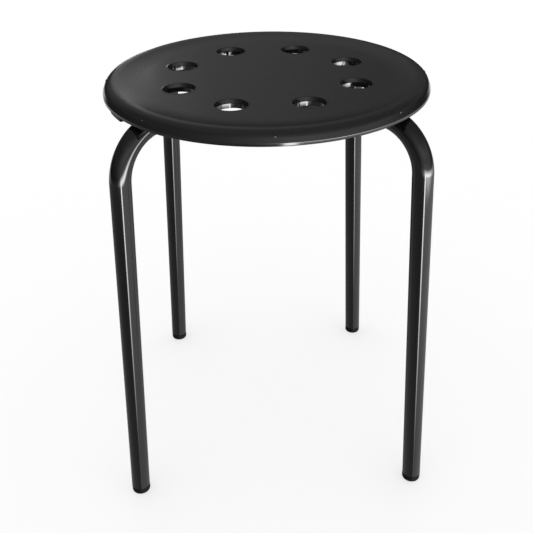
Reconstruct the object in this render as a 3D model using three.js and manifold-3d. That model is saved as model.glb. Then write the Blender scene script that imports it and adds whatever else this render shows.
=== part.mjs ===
// A stacking stool: a round moulded plastic seat with eight finger holes, on two bent steel tubes.
// The tubes cross under the seat, are bolted there, and stand on four plastic plugs.
// Millimetres, +Z up, floor at zero. The origin lies under the middle of the stool's outer box.
import * as THREE from "three";
import { mergeVertices } from "three/addons/utils/BufferGeometryUtils.js";
import Module from "manifold-3d";

const wasm = await Module();
wasm.setup();

// Fits
const slip = 0.3; // gap between two pieces that touch
const overrun = 1; // how far a cutting body runs past what it cuts

// Seat moulding
const seatTop = 441; // floor to the crest of the rim
const seatRadius = 160;
const deckWall = 3.4; // thickness of the deck and of the rim
const dishDepth = 3; // the flat middle lies this far below the crest
const rimBand = 40; // the middle is flat to this far in from the edge
const crestBlend = 28; // the rise rounds over into the crest with this radius
const rollRadius = 9; // then the rim rolls over and down with this one
const rimDepth = 12.5; // crest to the lower edge of the rim
const rimDraft = THREE.MathUtils.degToRad(14); // the rim's skirt flares out towards its edge
const rimEdge = 1; // bevel of the lower edge

// Lug under the rim at the left
const lugAngle = THREE.MathUtils.degToRad(206);
const lugLength = 25;
const lugDepth = 5; // below the rim
const lugThickness = 4.5;

// Finger holes
const holeCount = 8;
const holeInset = 29; // from the edge of the flat in to the holes' centres
const holeRadius = 15.3;
const beadWidth = 4; // raised bead round each hole
const beadHeight = 0.8;
const sleeveWall = 1.8;
const sleeveDepth = 10.4;
const sleeveStep = 1.1; // the lower part of the bore is narrower by this
const sleeveStepDepth = 4.4;
const beadShares = [0.25, 0.5]; // the bead's crown, as shares of its width

// Ribs under the deck
const ribWall = 2.4;
const ribDepth = 6; // below the deck
const ribRootShare = 0.8; // how far the ribs run up into the deck, of its wall
const innerRingInset = 29; // from the holes' centres in to the inner ring
const outerRingOutset = 8; // from the edge of the flat out to the outer ring
const ribCount = 8;
const hubRadius = 9;

// Cradles: the four saddles under the deck that hold the tubes
const cradlePad = 3.4; // plastic between the deck and the tube
const cradleWall = 2.6;
const cradleGrip = 11; // how far the walls reach down the tube
const cradleInward = 12; // from the seat bolt towards the middle
const cradleOutward = 20; // from the seat bolt towards the rim

// Tubes
const tubeRadius = 10;
const tubeWall = 1.5;
const bendRadius = 48; // at the tube's centre line
const kneeOverhang = 11.5; // leg and crossbar would meet this far outside the seat
const legSplay = THREE.MathUtils.degToRad(4.07);
const crossingBack = 27.6; // the hoops cross this far behind the seat's axis
const hoopTurn = THREE.MathUtils.degToRad(45);

// The lower hoop's dip under the upper one
const dipMargin = 26.3; // from a seat bolt in to the corner where the dip starts
const dipFloorShare = 0.38; // its low corners, as a share of the way to the high ones
const dipFloorSpare = 9; // the low corners lie at least this far outside the spacer
const dipBendRadius = 45;
const bendLimitShare = 0.96; // of the straight tube between two corners, for a bend

// Foot plugs
const plugHeight = 5;
const plugEdge = 1.5;
const stemLength = 20;
const stemRingCount = 2;
const stemRingHeight = 1.3;
const stemRingShares = [0.4, 0.5, 0.75, 0.85]; // where a ring lies in its part of the stem

// Seat bolts, with a hexagon socket, each into a brass insert in its cradle
const seatBoltInset = 12.8; // from the start of the bend in to a seat bolt
const headSideShare = 0.4; // part of a head's height that is a plain cylinder
const headFaceShare = 0.7; // flat of a head, as a share of its radius
const socketShare = 0.6; // depth of a socket in its head
const tipShare = 0.25; // bevel of a bolt's tip, as a share of its radius
const seatBoltRadius = 2.5;
const seatBoltHeadRadius = 4.75;
const seatBoltHeadHeight = 2.8;
const seatBoltSocket = 1.7; // centre to corner of the hexagon
const insertWall = 1.1;
const insertLength = 4.6;
const insertCover = 1.9; // plastic left above the insert

// Curved washers under the tubes
const washerPlate = 1.5; // thickness under the tube's lowest line
const washerGrip = 2.4; // how far the washer reaches up round the tube
const washerRadius = 7;

// Crossing bolt, nut and spacer
const crossingBoltRadius = 3;
const crossingHeadRadius = 6;
const crossingHeadHeight = 2.5;
const crossingSocket = 2.3;
const headClearance = 1.5; // round the head, in the ribs
const nutRadius = 5.6; // centre to corner
const nutHeight = 5;
const boltTail = 1.5; // the bolt shows this far below the nut
const spacerWeb = 2; // plastic between the two tubes
const spacerRadius = 13;
const spacerGrip = 4; // how far the spacer reaches round each tube

// Fineness
const roundSides = 60;
const holeSides = 16;
const smallSides = 12;
const tubeSides = 16;
const kneeSteps = 8;
const dipSteps = 2;
const riseSteps = 2;
const blendSteps = 2;
const rollSteps = 3;
const plugEdgeSteps = 2;
const hexagon = 6;

// Places worked out from the sizes above
const dishFlatRadius = seatRadius - rimBand;
const holeRingRadius = dishFlatRadius - holeInset;
const innerRingRadius = holeRingRadius - innerRingInset;
const outerRingRadius = dishFlatRadius + outerRingOutset;
const kneeReach = seatRadius + kneeOverhang;
const deckTop = seatTop - dishDepth;
const deckUnder = deckTop - deckWall;
const ribTop = deckUnder + ribRootShare * deckWall;
const tubeAxisHeight = deckUnder - cradlePad - slip - tubeRadius;
const lowTubeAxisHeight = tubeAxisHeight - 2 * tubeRadius - spacerWeb - 2 * slip;
const footReach = kneeReach + (tubeAxisHeight - plugHeight) * Math.tan(legSplay);
const crossingAlong = crossingBack * Math.sin(hoopTurn);
const bendStart = kneeReach - bendRadius * Math.tan((Math.PI / 2 - legSplay) / 2);
const seatBoltReach = bendStart - seatBoltInset; // middle of a hoop to a seat bolt

// A hoop's upright plane: its middle is the point of its line nearest to the seat's axis.
// side is 1 for the hoop from front left to back right, and -1 for its mirror image.
function onHoop(side, along, up) {
  const middle = -crossingAlong * Math.cos(hoopTurn);
  const x = middle + along * Math.cos(hoopTurn);
  const y = crossingBack - crossingAlong * Math.sin(hoopTurn) + along * Math.sin(hoopTurn);
  return new THREE.Vector3(side * x, y, up);
}

function hoopDirection(side, along, up) {
  return onHoop(side, along, up).sub(onHoop(side, 0, 0)).normalize();
}

const crossing = onHoop(1, crossingAlong, 0);

// The seat's axis stands off the origin, so that the outer box is centred on it.
const backReach = onHoop(1, footReach, 0).y + tubeRadius;
const seatAxisY = (seatRadius - backReach) / 2;

// A closed geometry as a solid, ready to be joined or cut.
function solid(geometry) {
  const plain = geometry.index ? geometry.toNonIndexed() : geometry;
  const bare = new THREE.BufferGeometry();
  bare.setAttribute("position", plain.getAttribute("position"));
  const merged = mergeVertices(bare, 1e-4);
  const corners = [];
  for (let i = 0; i < merged.index.count; i += 3) {
    const [a, b, c] = [0, 1, 2].map((k) => merged.index.getX(i + k));
    if (a !== b && b !== c && c !== a) corners.push(a, b, c);
  }
  return new wasm.Manifold(
    new wasm.Mesh({
      numProp: 3,
      vertProperties: merged.attributes.position.array,
      triVerts: new Uint32Array(corners),
    }),
  );
}

// A body of revolution about Z from [radius, height] pairs that run anticlockwise.
function revolve(profile, sides) {
  const points = profile.map(([radius, height]) => new THREE.Vector2(radius, height));
  return solid(new THREE.LatheGeometry(points, sides).rotateX(Math.PI / 2));
}

// A ring of rectangular section.
function ring(inner, outer, low, high, sides) {
  return revolve([[inner, low], [outer, low], [outer, high], [inner, high], [inner, low]], sides);
}

function rod(radius, low, high, sides) {
  return revolve([[0, low], [radius, low], [radius, high], [0, high]], sides);
}

function block(length, width, low, high) {
  const box = new THREE.BoxGeometry(length, width, high - low);
  return solid(box.translate(0, 0, (low + high) / 2));
}

function moved(body, { x = 0, y = 0, z = 0 }) {
  return body.translate([x, y, z]);
}

function turned(body, angle) {
  return body.rotate([0, 0, THREE.MathUtils.radToDeg(angle)]);
}

function joined(bodies) {
  return bodies.reduce((whole, body) => whole.add(body));
}

function cut(body, cutters) {
  return cutters.reduce((rest, cutter) => rest.subtract(cutter), body);
}

// Points of an arc from one angle to another, as [radius, height] pairs.
function arc(centre, radius, from, to, steps) {
  return Array.from({ length: steps + 1 }, (_, i) => {
    const angle = from + ((to - from) * i) / steps;
    return [centre[0] + radius * Math.cos(angle), centre[1] + radius * Math.sin(angle)];
  });
}

// The rim's skirt starts where the roll has turned down to the draft.
const rollTurn = Math.PI / 2 - rimDraft;
const skirtTop = seatTop - rollRadius * (1 - Math.cos(rollTurn));
const skirtFoot = seatTop - rimDepth + rimEdge;
const skirtFlare = (skirtTop - skirtFoot) * Math.tan(rimDraft);
const crestRadius = seatRadius - skirtFlare - rollRadius * Math.sin(rollTurn);

// The dish rises to the crest on a hollow arc and rounds over on a smaller one.
function dishRise() {
  const width = crestRadius - dishFlatRadius;
  const slope = 2 * Math.atan(dishDepth / width);
  const hollow = width / Math.sin(slope) - crestBlend;
  const foot = arc([dishFlatRadius, deckTop + hollow], hollow, -Math.PI / 2, slope - Math.PI / 2, riseSteps);
  const head = arc([crestRadius, seatTop - crestBlend], crestBlend, slope + Math.PI / 2, Math.PI / 2, blendSteps);
  return [...foot, ...head.slice(1)];
}

// The deck and its rolled rim, of one thickness all over.
function seatShell() {
  const rise = dishRise();
  const underside = rise.map(([radius, height]) => [radius, height - deckWall]);
  const rollCentre = [crestRadius, seatTop - rollRadius];
  const inner = seatRadius - deckWall;
  const low = seatTop - rimDepth;
  return revolve(
    [
      [0, deckUnder],
      ...underside,
      ...arc(rollCentre, rollRadius - deckWall, Math.PI / 2, rimDraft, rollSteps).slice(1),
      [inner, skirtFoot],
      [inner + rimEdge, low],
      [seatRadius - rimEdge, low],
      [seatRadius, skirtFoot],
      ...arc(rollCentre, rollRadius, rimDraft, Math.PI / 2, rollSteps),
      ...rise.reverse().slice(1),
      [0, deckTop],
    ],
    roundSides,
  );
}

// A short piece of a ring that hangs from the inside of the rim.
function lug() {
  const outer = seatRadius - deckWall + rimEdge;
  const band = ring(
    outer - lugThickness,
    outer,
    seatTop - rimDepth - lugDepth,
    skirtTop,
    roundSides,
  );
  const window = block(2 * seatRadius, lugLength, 0, seatTop);
  return band.intersect(turned(moved(window, { x: seatRadius }), lugAngle));
}

function holeCentre(index) {
  const angle = ((index + 0.5) * 2 * Math.PI) / holeCount;
  return new THREE.Vector3(holeRingRadius * Math.cos(angle), holeRingRadius * Math.sin(angle), 0);
}

// The wall round a finger hole: a raised bead, a rounded lip, and a bore with a step in it.
function holeSleeve() {
  const outer = holeRadius + sleeveWall;
  const lower = holeRadius - sleeveStep;
  const bead = holeRadius + beadWidth;
  const bottom = deckTop - sleeveDepth;
  const step = deckTop - sleeveStepDepth;
  return revolve(
    [
      [lower, bottom],
      [outer, bottom],
      [outer, ribTop],
      [bead, ribTop],
      [bead, deckTop],
      [holeRadius + beadShares[1] * beadWidth, deckTop + beadHeight],
      [holeRadius + beadShares[0] * beadWidth, deckTop + beadHeight],
      [holeRadius, deckTop - beadHeight],
      [holeRadius, step],
      [lower, step - sleeveStep / 2],
      [lower, bottom],
    ],
    holeSides,
  );
}

function ribs() {
  const low = deckUnder - ribDepth;
  const reach = seatRadius - deckWall / 2;
  const rings = [innerRingRadius, outerRingRadius].map((radius) =>
    ring(radius - ribWall / 2, radius + ribWall / 2, low, ribTop, roundSides),
  );
  const spokes = Array.from({ length: ribCount }, (_, i) => {
    const spoke = block(reach - hubRadius / 2, ribWall, low, ribTop);
    return turned(moved(spoke, { x: (reach + hubRadius / 2) / 2 }), (i * 2 * Math.PI) / ribCount);
  });
  return [rod(hubRadius, low, ribTop, smallSides), ...rings, ...spokes];
}

// The stations of a line through corners, each rounded to its own radius in some steps. The
// two ends stand upright, so that they are cut level.
function roundedLine(corners) {
  return corners.flatMap(({ at, radius, steps }, i) => {
    if (!radius) return [{ at, direction: new THREE.Vector2(0, i === 0 ? 1 : -1) }];
    const into = at.clone().sub(corners[i - 1].at).normalize();
    const out = corners[i + 1].at.clone().sub(at).normalize();
    const turn = Math.atan2(into.cross(out), into.dot(out));
    const side = new THREE.Vector2(-into.y, into.x).multiplyScalar(Math.sign(turn));
    const start = at.clone().addScaledVector(into, -radius * Math.tan(Math.abs(turn) / 2));
    return Array.from({ length: steps + 1 }, (_, k) => {
      const angle = (Math.abs(turn) * k) / steps;
      const point = start
        .clone()
        .addScaledVector(side, radius * (1 - Math.cos(angle)))
        .addScaledVector(into, radius * Math.sin(angle));
      const direction = into
        .clone()
        .multiplyScalar(Math.cos(angle))
        .addScaledVector(side, Math.sin(angle));
      return { at: point, direction };
    });
  });
}

// A line in space given by stations, so that a sweep has exactly one ring at each of them.
class StationCurve extends THREE.Curve {
  constructor(points, directions) {
    super();
    this.points = points;
    this.directions = directions;
  }

  getPointAt(share, target = new THREE.Vector3()) {
    return target.copy(this.points[Math.round(share * (this.points.length - 1))]);
  }

  getTangentAt(share, target = new THREE.Vector3()) {
    return target.copy(this.directions[Math.round(share * (this.directions.length - 1))]);
  }
}

// The dip's four corners. Its bends are the named ones, or as large as the corners allow.
function dipCorners() {
  const high = seatBoltReach - dipMargin - crossingAlong;
  const low = Math.max(dipFloorShare * high, spacerRadius + dipFloorSpare);
  const slope = Math.atan2(tubeAxisHeight - lowTubeAxisHeight, high - low);
  const floorRoom = low - spacerRadius - slip;
  const room = bendLimitShare * Math.min(floorRoom, (high - low) / Math.cos(slope) / 2);
  const radius = Math.min(dipBendRadius, room / Math.tan(slope / 2));
  return [
    [-high, tubeAxisHeight],
    [-low, lowTubeAxisHeight],
    [low, lowTubeAxisHeight],
    [high, tubeAxisHeight],
  ].map(([offset, up]) => ({
    at: new THREE.Vector2(crossingAlong + offset, up),
    radius,
    steps: dipSteps,
  }));
}

// A hoop's centre line, from one foot over the crossbar to the other. dips says whether it
// passes under the other hoop.
function hoopLine(dips) {
  const end = plugHeight + slip;
  const endReach = kneeReach + (tubeAxisHeight - end) * Math.tan(legSplay);
  const foot = (side) => ({ at: new THREE.Vector2(side * endReach, end) });
  const knee = (side) => ({
    at: new THREE.Vector2(side * kneeReach, tubeAxisHeight),
    radius: bendRadius,
    steps: kneeSteps,
  });
  return roundedLine([foot(-1), knee(-1), ...(dips ? dipCorners() : []), knee(1), foot(1)]);
}

// A round section swept along a hoop's line. A bore makes it a tube that is open at both ends.
function sweepHoop(side, dips, radius, bore) {
  const stations = hoopLine(dips);
  const path = new StationCurve(
    stations.map(({ at }) => onHoop(side, at.x, at.y)),
    stations.map(({ direction }) => hoopDirection(side, direction.x, direction.y)),
  );
  const section = new THREE.Shape().absarc(0, 0, radius, 0, 2 * Math.PI, false);
  if (bore) section.holes.push(new THREE.Path().absarc(0, 0, bore, 0, 2 * Math.PI, true));
  const options = {
    steps: stations.length - 1,
    curveSegments: tubeSides / 2,
    extrudePath: path,
  };
  return solid(new THREE.ExtrudeGeometry(section, options));
}

// The upright hole through both walls of a tube.
function tubeHole(side, along, axisHeight, radius) {
  const drill = rod(
    radius,
    axisHeight - tubeRadius - overrun,
    axisHeight + tubeRadius + overrun,
    smallSides,
  );
  return moved(drill, onHoop(side, along, 0));
}

function hoop(side, dips) {
  const crossingHeight = dips ? lowTubeAxisHeight : tubeAxisHeight;
  const boltHole = seatBoltRadius + slip;
  return cut(sweepHoop(side, dips, tubeRadius, tubeRadius - tubeWall), [
    tubeHole(side, -seatBoltReach, tubeAxisHeight, boltHole),
    tubeHole(side, seatBoltReach, tubeAxisHeight, boltHole),
    tubeHole(side, crossingAlong, crossingHeight, crossingBoltRadius + slip),
  ]);
}

// A straight run of the tube's outside with clearance, along X through the origin.
function tubeClearance(length) {
  const outside = new THREE.CylinderGeometry(
    tubeRadius + slip,
    tubeRadius + slip,
    length,
    tubeSides,
  );
  return solid(outside.rotateZ(Math.PI / 2));
}

// The angle of a hoop's crossbar, towards its back end.
function alongHoop(side) {
  return side > 0 ? hoopTurn : Math.PI - hoopTurn;
}

const arms = [
  { name: "front_left", side: 1, end: -1 },
  { name: "back_right", side: 1, end: 1 },
  { name: "front_right", side: -1, end: -1 },
  { name: "back_left", side: -1, end: 1 },
];

// A cradle under the deck, centred on its seat bolt. The tube's room is cut out of it later.
function cradle({ side, end }) {
  const width = 2 * (tubeRadius + slip + cradleWall);
  const low = tubeAxisHeight + tubeRadius - cradleGrip;
  const length = cradleInward + cradleOutward;
  const reach = seatBoltReach + (cradleOutward - cradleInward) / 2;
  const body = turned(block(length, width, low, ribTop), alongHoop(side));
  return moved(body, onHoop(side, end * reach, 0));
}

// Room in the ribs for the head of the crossing bolt.
function headRoom() {
  const top = tubeAxisHeight + tubeRadius + crossingHeadHeight + 2 * slip;
  return moved(rod(crossingHeadRadius + headClearance, tubeAxisHeight, top, smallSides), crossing);
}

function insertPocket({ side, end }) {
  const top = deckTop - insertCover + slip;
  const radius = seatBoltRadius + insertWall + slip;
  const pocket = rod(radius, tubeAxisHeight, top, smallSides);
  return moved(pocket, onHoop(side, end * seatBoltReach, 0));
}

function seat() {
  const holes = Array.from({ length: holeCount }, (_, i) => holeCentre(i));
  const bore = rod(
    holeRadius + sleeveWall / 2,
    tubeAxisHeight,
    seatTop + overrun,
    holeSides,
  );
  const sleeve = holeSleeve();
  const deck = joined([seatShell(), lug(), ...ribs(), ...arms.map(cradle)]);
  const pierced = cut(deck, holes.map((centre) => moved(bore, centre)));
  const sleeved = joined([pierced, ...holes.map((centre) => moved(sleeve, centre))]);
  const tubeRooms = [sweepHoop(1, false, tubeRadius + slip), sweepHoop(-1, true, tubeRadius + slip)];
  return cut(sleeved, [...tubeRooms, headRoom(), ...arms.map(insertPocket)]);
}

// One ring of a plug's stem: a bevel up to the bore, a short land and a bevel back.
function stemRing(core, bore, low, pitch) {
  const heights = stemRingShares.map((share) => low + share * pitch);
  return [core, bore, bore, core].map((radius, i) => [radius, heights[i]]);
}

// A plug's stem leans with the leg, while its foot stands level.
function footPlug({ side, end }) {
  const bore = tubeRadius - tubeWall - slip;
  const core = bore - stemRingHeight;
  const foot = revolve(
    [
      [0, 0],
      ...arc([tubeRadius - plugEdge, plugEdge], plugEdge, -Math.PI / 2, 0, plugEdgeSteps),
      [tubeRadius, plugHeight],
      [0, plugHeight],
    ],
    tubeSides,
  );
  const pitch = stemLength / stemRingCount;
  const rings = Array.from({ length: stemRingCount }, (_, i) =>
    stemRing(core, bore, i * pitch, pitch),
  );
  const stem = revolve(
    [[0, -overrun], [core, -overrun], ...rings.flat(), [core, stemLength], [0, stemLength]],
    smallSides,
  );
  const lean = THREE.MathUtils.radToDeg(legSplay);
  const leaning = turned(stem.rotate([0, -end * lean, 0]), alongHoop(side));
  return moved(foot.add(moved(leaning, { z: plugHeight })), onHoop(side, end * footReach, 0));
}

// A screw that points up: its head below, with a hexagon socket in it.
function socketScrew(radius, headRadius, headHeight, socket, low, tip) {
  const head = low + headHeight;
  const bevel = tipShare * radius;
  const body = revolve(
    [
      [0, low],
      [headFaceShare * headRadius, low],
      [headRadius, head - headSideShare * headHeight],
      [headRadius, head],
      [radius, head],
      [radius, tip - bevel],
      [radius - bevel, tip],
      [0, tip],
    ],
    smallSides,
  );
  return body.subtract(rod(socket, low - overrun, low + socketShare * headHeight, hexagon));
}

const washerTop = tubeAxisHeight - tubeRadius + washerGrip;
const washerBottom = tubeAxisHeight - tubeRadius - slip - washerPlate;

function seatBolt({ side, end }) {
  const head = washerBottom - slip;
  const tip = deckTop - insertCover - slip;
  const screw = socketScrew(
    seatBoltRadius,
    seatBoltHeadRadius,
    seatBoltHeadHeight,
    seatBoltSocket,
    head - seatBoltHeadHeight,
    tip,
  );
  return moved(screw, onHoop(side, end * seatBoltReach, 0));
}

// A washer that is hollowed to sit under a tube, with the tube along X.
function saddleWasher(axisHeight, boltRadius) {
  const low = axisHeight - tubeRadius - slip - washerPlate;
  const disc = ring(boltRadius + slip, washerRadius, low, low + washerPlate + washerGrip, smallSides);
  const room = tubeClearance(2 * (washerRadius + overrun));
  return disc.subtract(moved(room, { z: axisHeight }));
}

function seatWasher({ side, end }) {
  const washer = turned(saddleWasher(tubeAxisHeight, seatBoltRadius), alongHoop(side));
  return moved(washer, onHoop(side, end * seatBoltReach, 0));
}

function insert({ side, end }) {
  const top = deckTop - insertCover;
  const sleeve = ring(
    seatBoltRadius + slip,
    seatBoltRadius + insertWall,
    top - insertLength,
    top,
    smallSides,
  );
  return moved(sleeve, onHoop(side, end * seatBoltReach, 0));
}

// The spacer between the hoops: a disc hollowed along each of the two tubes.
function crossingSpacer() {
  const low = lowTubeAxisHeight + tubeRadius - spacerGrip;
  const high = tubeAxisHeight - tubeRadius + spacerGrip;
  const disc = ring(crossingBoltRadius + slip, spacerRadius, low, high, tubeSides);
  const room = tubeClearance(2 * (spacerRadius + overrun));
  const upper = moved(turned(room, alongHoop(1)), { z: tubeAxisHeight });
  const lower = moved(turned(room, alongHoop(-1)), { z: lowTubeAxisHeight });
  return moved(cut(disc, [upper, lower]), crossing);
}

const nutTop = lowTubeAxisHeight - tubeRadius - washerPlate - 2 * slip;

function crossingBolt() {
  const tail = nutTop - nutHeight - boltTail;
  const head = tubeAxisHeight + tubeRadius + slip + crossingHeadHeight;
  const screw = socketScrew(
    crossingBoltRadius,
    crossingHeadRadius,
    crossingHeadHeight,
    crossingSocket,
    0,
    head - tail,
  );
  return moved(moved(screw.rotate([180, 0, 0]), { z: head }), crossing);
}

function crossingWasher() {
  const washer = turned(saddleWasher(lowTubeAxisHeight, crossingBoltRadius), alongHoop(-1));
  return moved(washer, crossing);
}

function crossingNut() {
  const nut = rod(nutRadius, nutTop - nutHeight, nutTop, hexagon);
  const bore = rod(crossingBoltRadius + slip, nutTop - nutHeight - overrun, nutTop + overrun, smallSides);
  return moved(nut.subtract(bore), crossing);
}

// Surface looks, from the photograph.
const satinBlack = () => new THREE.MeshStandardMaterial({ color: 0x1e1e1f, roughness: 0.5, metalness: 0 });
const glossBlack = () => new THREE.MeshStandardMaterial({ color: 0x101011, roughness: 0.18, metalness: 0 });
const plainBlack = () => new THREE.MeshStandardMaterial({ color: 0x161617, roughness: 0.45, metalness: 0 });
const zinc = () => new THREE.MeshStandardMaterial({ color: 0xa9adb1, roughness: 0.35, metalness: 1 });
const brass = () => new THREE.MeshStandardMaterial({ color: 0xb4914c, roughness: 0.4, metalness: 1 });

function mesh(name, body, material) {
  const { vertProperties, triVerts } = body.getMesh();
  const geometry = new THREE.BufferGeometry();
  geometry.setAttribute("position", new THREE.BufferAttribute(vertProperties, 3));
  geometry.setIndex(new THREE.BufferAttribute(triVerts, 1));
  geometry.computeVertexNormals();
  const made = new THREE.Mesh(geometry, material);
  made.name = name;
  return made;
}

const aboutSeatAxis = new THREE.Group();
aboutSeatAxis.position.y = seatAxisY;
aboutSeatAxis.add(
  mesh("seat", seat(), satinBlack()),
  mesh("hoop_upper", hoop(1, false), glossBlack()),
  mesh("hoop_lower", hoop(-1, true), glossBlack()),
  mesh("crossing_spacer", crossingSpacer(), plainBlack()),
  mesh("crossing_bolt", crossingBolt(), zinc()),
  mesh("crossing_washer", crossingWasher(), zinc()),
  mesh("crossing_nut", crossingNut(), zinc()),
);
for (const arm of arms) {
  aboutSeatAxis.add(
    mesh("foot_plug_" + arm.name, footPlug(arm), plainBlack()),
    mesh("seat_bolt_" + arm.name, seatBolt(arm), zinc()),
    mesh("seat_washer_" + arm.name, seatWasher(arm), zinc()),
    mesh("seat_insert_" + arm.name, insert(arm), brass()),
  );
}

const stool = new THREE.Group();
stool.add(aboutSeatAxis);

export default stool;
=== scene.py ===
"""A stacking stool: a satin black moulded seat on two gloss black bent tubes.

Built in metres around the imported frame: +Z up, the floor at zero, the front towards -Y.
"""
import math

import bpy
from mathutils import Matrix, Vector


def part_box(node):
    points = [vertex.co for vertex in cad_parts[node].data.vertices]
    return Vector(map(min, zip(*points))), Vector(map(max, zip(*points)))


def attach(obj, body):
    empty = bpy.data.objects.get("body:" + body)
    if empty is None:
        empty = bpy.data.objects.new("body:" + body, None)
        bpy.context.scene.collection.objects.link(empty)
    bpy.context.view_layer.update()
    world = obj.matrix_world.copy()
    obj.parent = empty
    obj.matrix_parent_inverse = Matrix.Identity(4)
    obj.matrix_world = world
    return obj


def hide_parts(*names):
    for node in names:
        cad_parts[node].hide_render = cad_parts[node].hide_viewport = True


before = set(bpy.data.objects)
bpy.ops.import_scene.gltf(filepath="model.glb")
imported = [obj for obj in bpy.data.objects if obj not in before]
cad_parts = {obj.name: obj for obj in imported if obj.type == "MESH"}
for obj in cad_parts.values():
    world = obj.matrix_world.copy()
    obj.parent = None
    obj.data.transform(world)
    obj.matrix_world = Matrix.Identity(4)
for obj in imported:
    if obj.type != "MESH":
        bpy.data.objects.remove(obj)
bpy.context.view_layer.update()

# The photographer's camera: it stands in front, a little above the seat, and looks down at it.
# The stool had been turned a little to the left for the picture, so here the camera stands aside.
seat_low, seat_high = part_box("seat")
SEAT_AXIS_Y = (seat_low.y + seat_high.y) / 2
CAMERA_LENS_MM = 49.486
CAMERA_SENSOR_MM = 36.0
CAMERA_STOOL_TURN = 0.03495
CAMERA_PLACE = Vector((-0.003135, -0.713732, 0.662813))
CAMERA_RIGHT = Vector((0.99984666, -0.00932341, -0.01482358))
CAMERA_DOWN = Vector((-0.01751184, -0.53232448, -0.84635925))
CAMERA_AHEAD = Vector((0.0, 0.84648906, -0.53240612))

camera_data = bpy.data.cameras.new("camera")
camera_data.sensor_fit = "HORIZONTAL"
camera_data.sensor_width = CAMERA_SENSOR_MM
camera_data.lens = CAMERA_LENS_MM
camera = bpy.data.objects.new("camera", camera_data)
bpy.context.collection.objects.link(camera)
camera_axes = Matrix((CAMERA_RIGHT, -CAMERA_DOWN, -CAMERA_AHEAD)).transposed().to_4x4()
camera.matrix_world = (
    Matrix.Translation((0.0, SEAT_AXIS_Y, 0.0))
    @ Matrix.Rotation(-CAMERA_STOOL_TURN, 4, "Z")
    @ Matrix.Translation(CAMERA_PLACE)
    @ camera_axes
)
bpy.context.scene.camera = camera
bpy.context.scene.view_settings.view_transform = "Standard"

# The studio floor: wide matt white paper, which takes the stool's faint soft shadow. It is hidden
# from gloss, which meets the levels of FLAGS below the horizon too: a white floor in the tubes
# would leave them much paler than in the photograph.
bpy.ops.object.select_all(action="DESELECT")


def linear(hex_colour):
    """An sRGB hex colour as linear red, green and blue, with a full alpha."""
    parts = [int(hex_colour[i:i + 2], 16) / 255 for i in (0, 2, 4)]
    lights = [c / 12.92 if c <= 0.04045 else ((c + 0.055) / 1.055) ** 2.4 for c in parts]
    return (*lights, 1.0)


def add_node(tree, kind, settings=None, values=None, links=None):
    """Adds a node with its settings, and the values and links of its sockets."""
    node = tree.nodes.new(kind)
    for name, value in (settings or {}).items():
        setattr(node, name, value)
    for socket, value in (values or {}).items():
        node.inputs[socket].default_value = value
    for socket, source in (links or {}).items():
        tree.links.new(source, node.inputs[socket])
    return node


def seen_rays(tree):
    """The Light Path node, and a node that is 1 for camera, glossy and transmission rays."""
    rays = add_node(tree, "ShaderNodeLightPath")
    bare = add_node(
        tree,
        "ShaderNodeMath",
        {"operation": "MAXIMUM"},
        links={0: rays.outputs["Is Camera Ray"], 1: rays.outputs["Is Glossy Ray"]},
    )
    return rays, add_node(
        tree,
        "ShaderNodeMath",
        {"operation": "MAXIMUM"},
        links={0: bare.outputs[0], 1: rays.outputs["Is Transmission Ray"]},
    )


FLOOR_SIZE = 16.0
FLOOR_COLOUR = "ffffff"
FLOOR_ROUGHNESS = 0.9
# The share of the floor that is plain white to the camera, and takes no shadow.
FLOOR_WHITE_SHARE = 0.6
WHITE = (1.0, 1.0, 1.0, 1.0)

bpy.ops.mesh.primitive_plane_add(size=FLOOR_SIZE)
floor = bpy.context.object
floor.name = "floor"
floor.visible_glossy = False
floor_paper = bpy.data.materials.new("floor_paper")
floor_paper.use_nodes = True
tree = floor_paper.node_tree
paper = tree.nodes["Principled BSDF"]
paper.inputs["Base Color"].default_value = linear(FLOOR_COLOUR)
paper.inputs["Roughness"].default_value = FLOOR_ROUGHNESS
paper.inputs["Specular IOR Level"].default_value = 0.0
_, seen = seen_rays(tree)
white_share = add_node(
    tree, "ShaderNodeMath", {"operation": "MULTIPLY"}, {1: FLOOR_WHITE_SHARE}, {0: seen.outputs[0]}
)
white = add_node(tree, "ShaderNodeEmission", values={"Color": WHITE, "Strength": 1.0})
paper_mix = add_node(
    tree,
    "ShaderNodeMixShader",
    links={0: white_share.outputs[0], 1: paper.outputs[0], 2: white.outputs[0]},
)
tree.links.new(paper_mix.outputs[0], tree.nodes["Material Output"].inputs["Surface"])
floor.data.materials.append(floor_paper)

# The studio round the stool: white to the camera, and a plain even white light on every matt
# surface. Gloss alone meets something else, the levels of FLAGS. Dark flags give the black
# its depth, and a bright window in front at the right draws the line along each tube.
world = bpy.data.worlds.new("studio")
bpy.context.scene.world = world
world.cycles.sampling_method = "NONE"
world.use_nodes = True
sky = world.node_tree
sky.nodes.clear()

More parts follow.
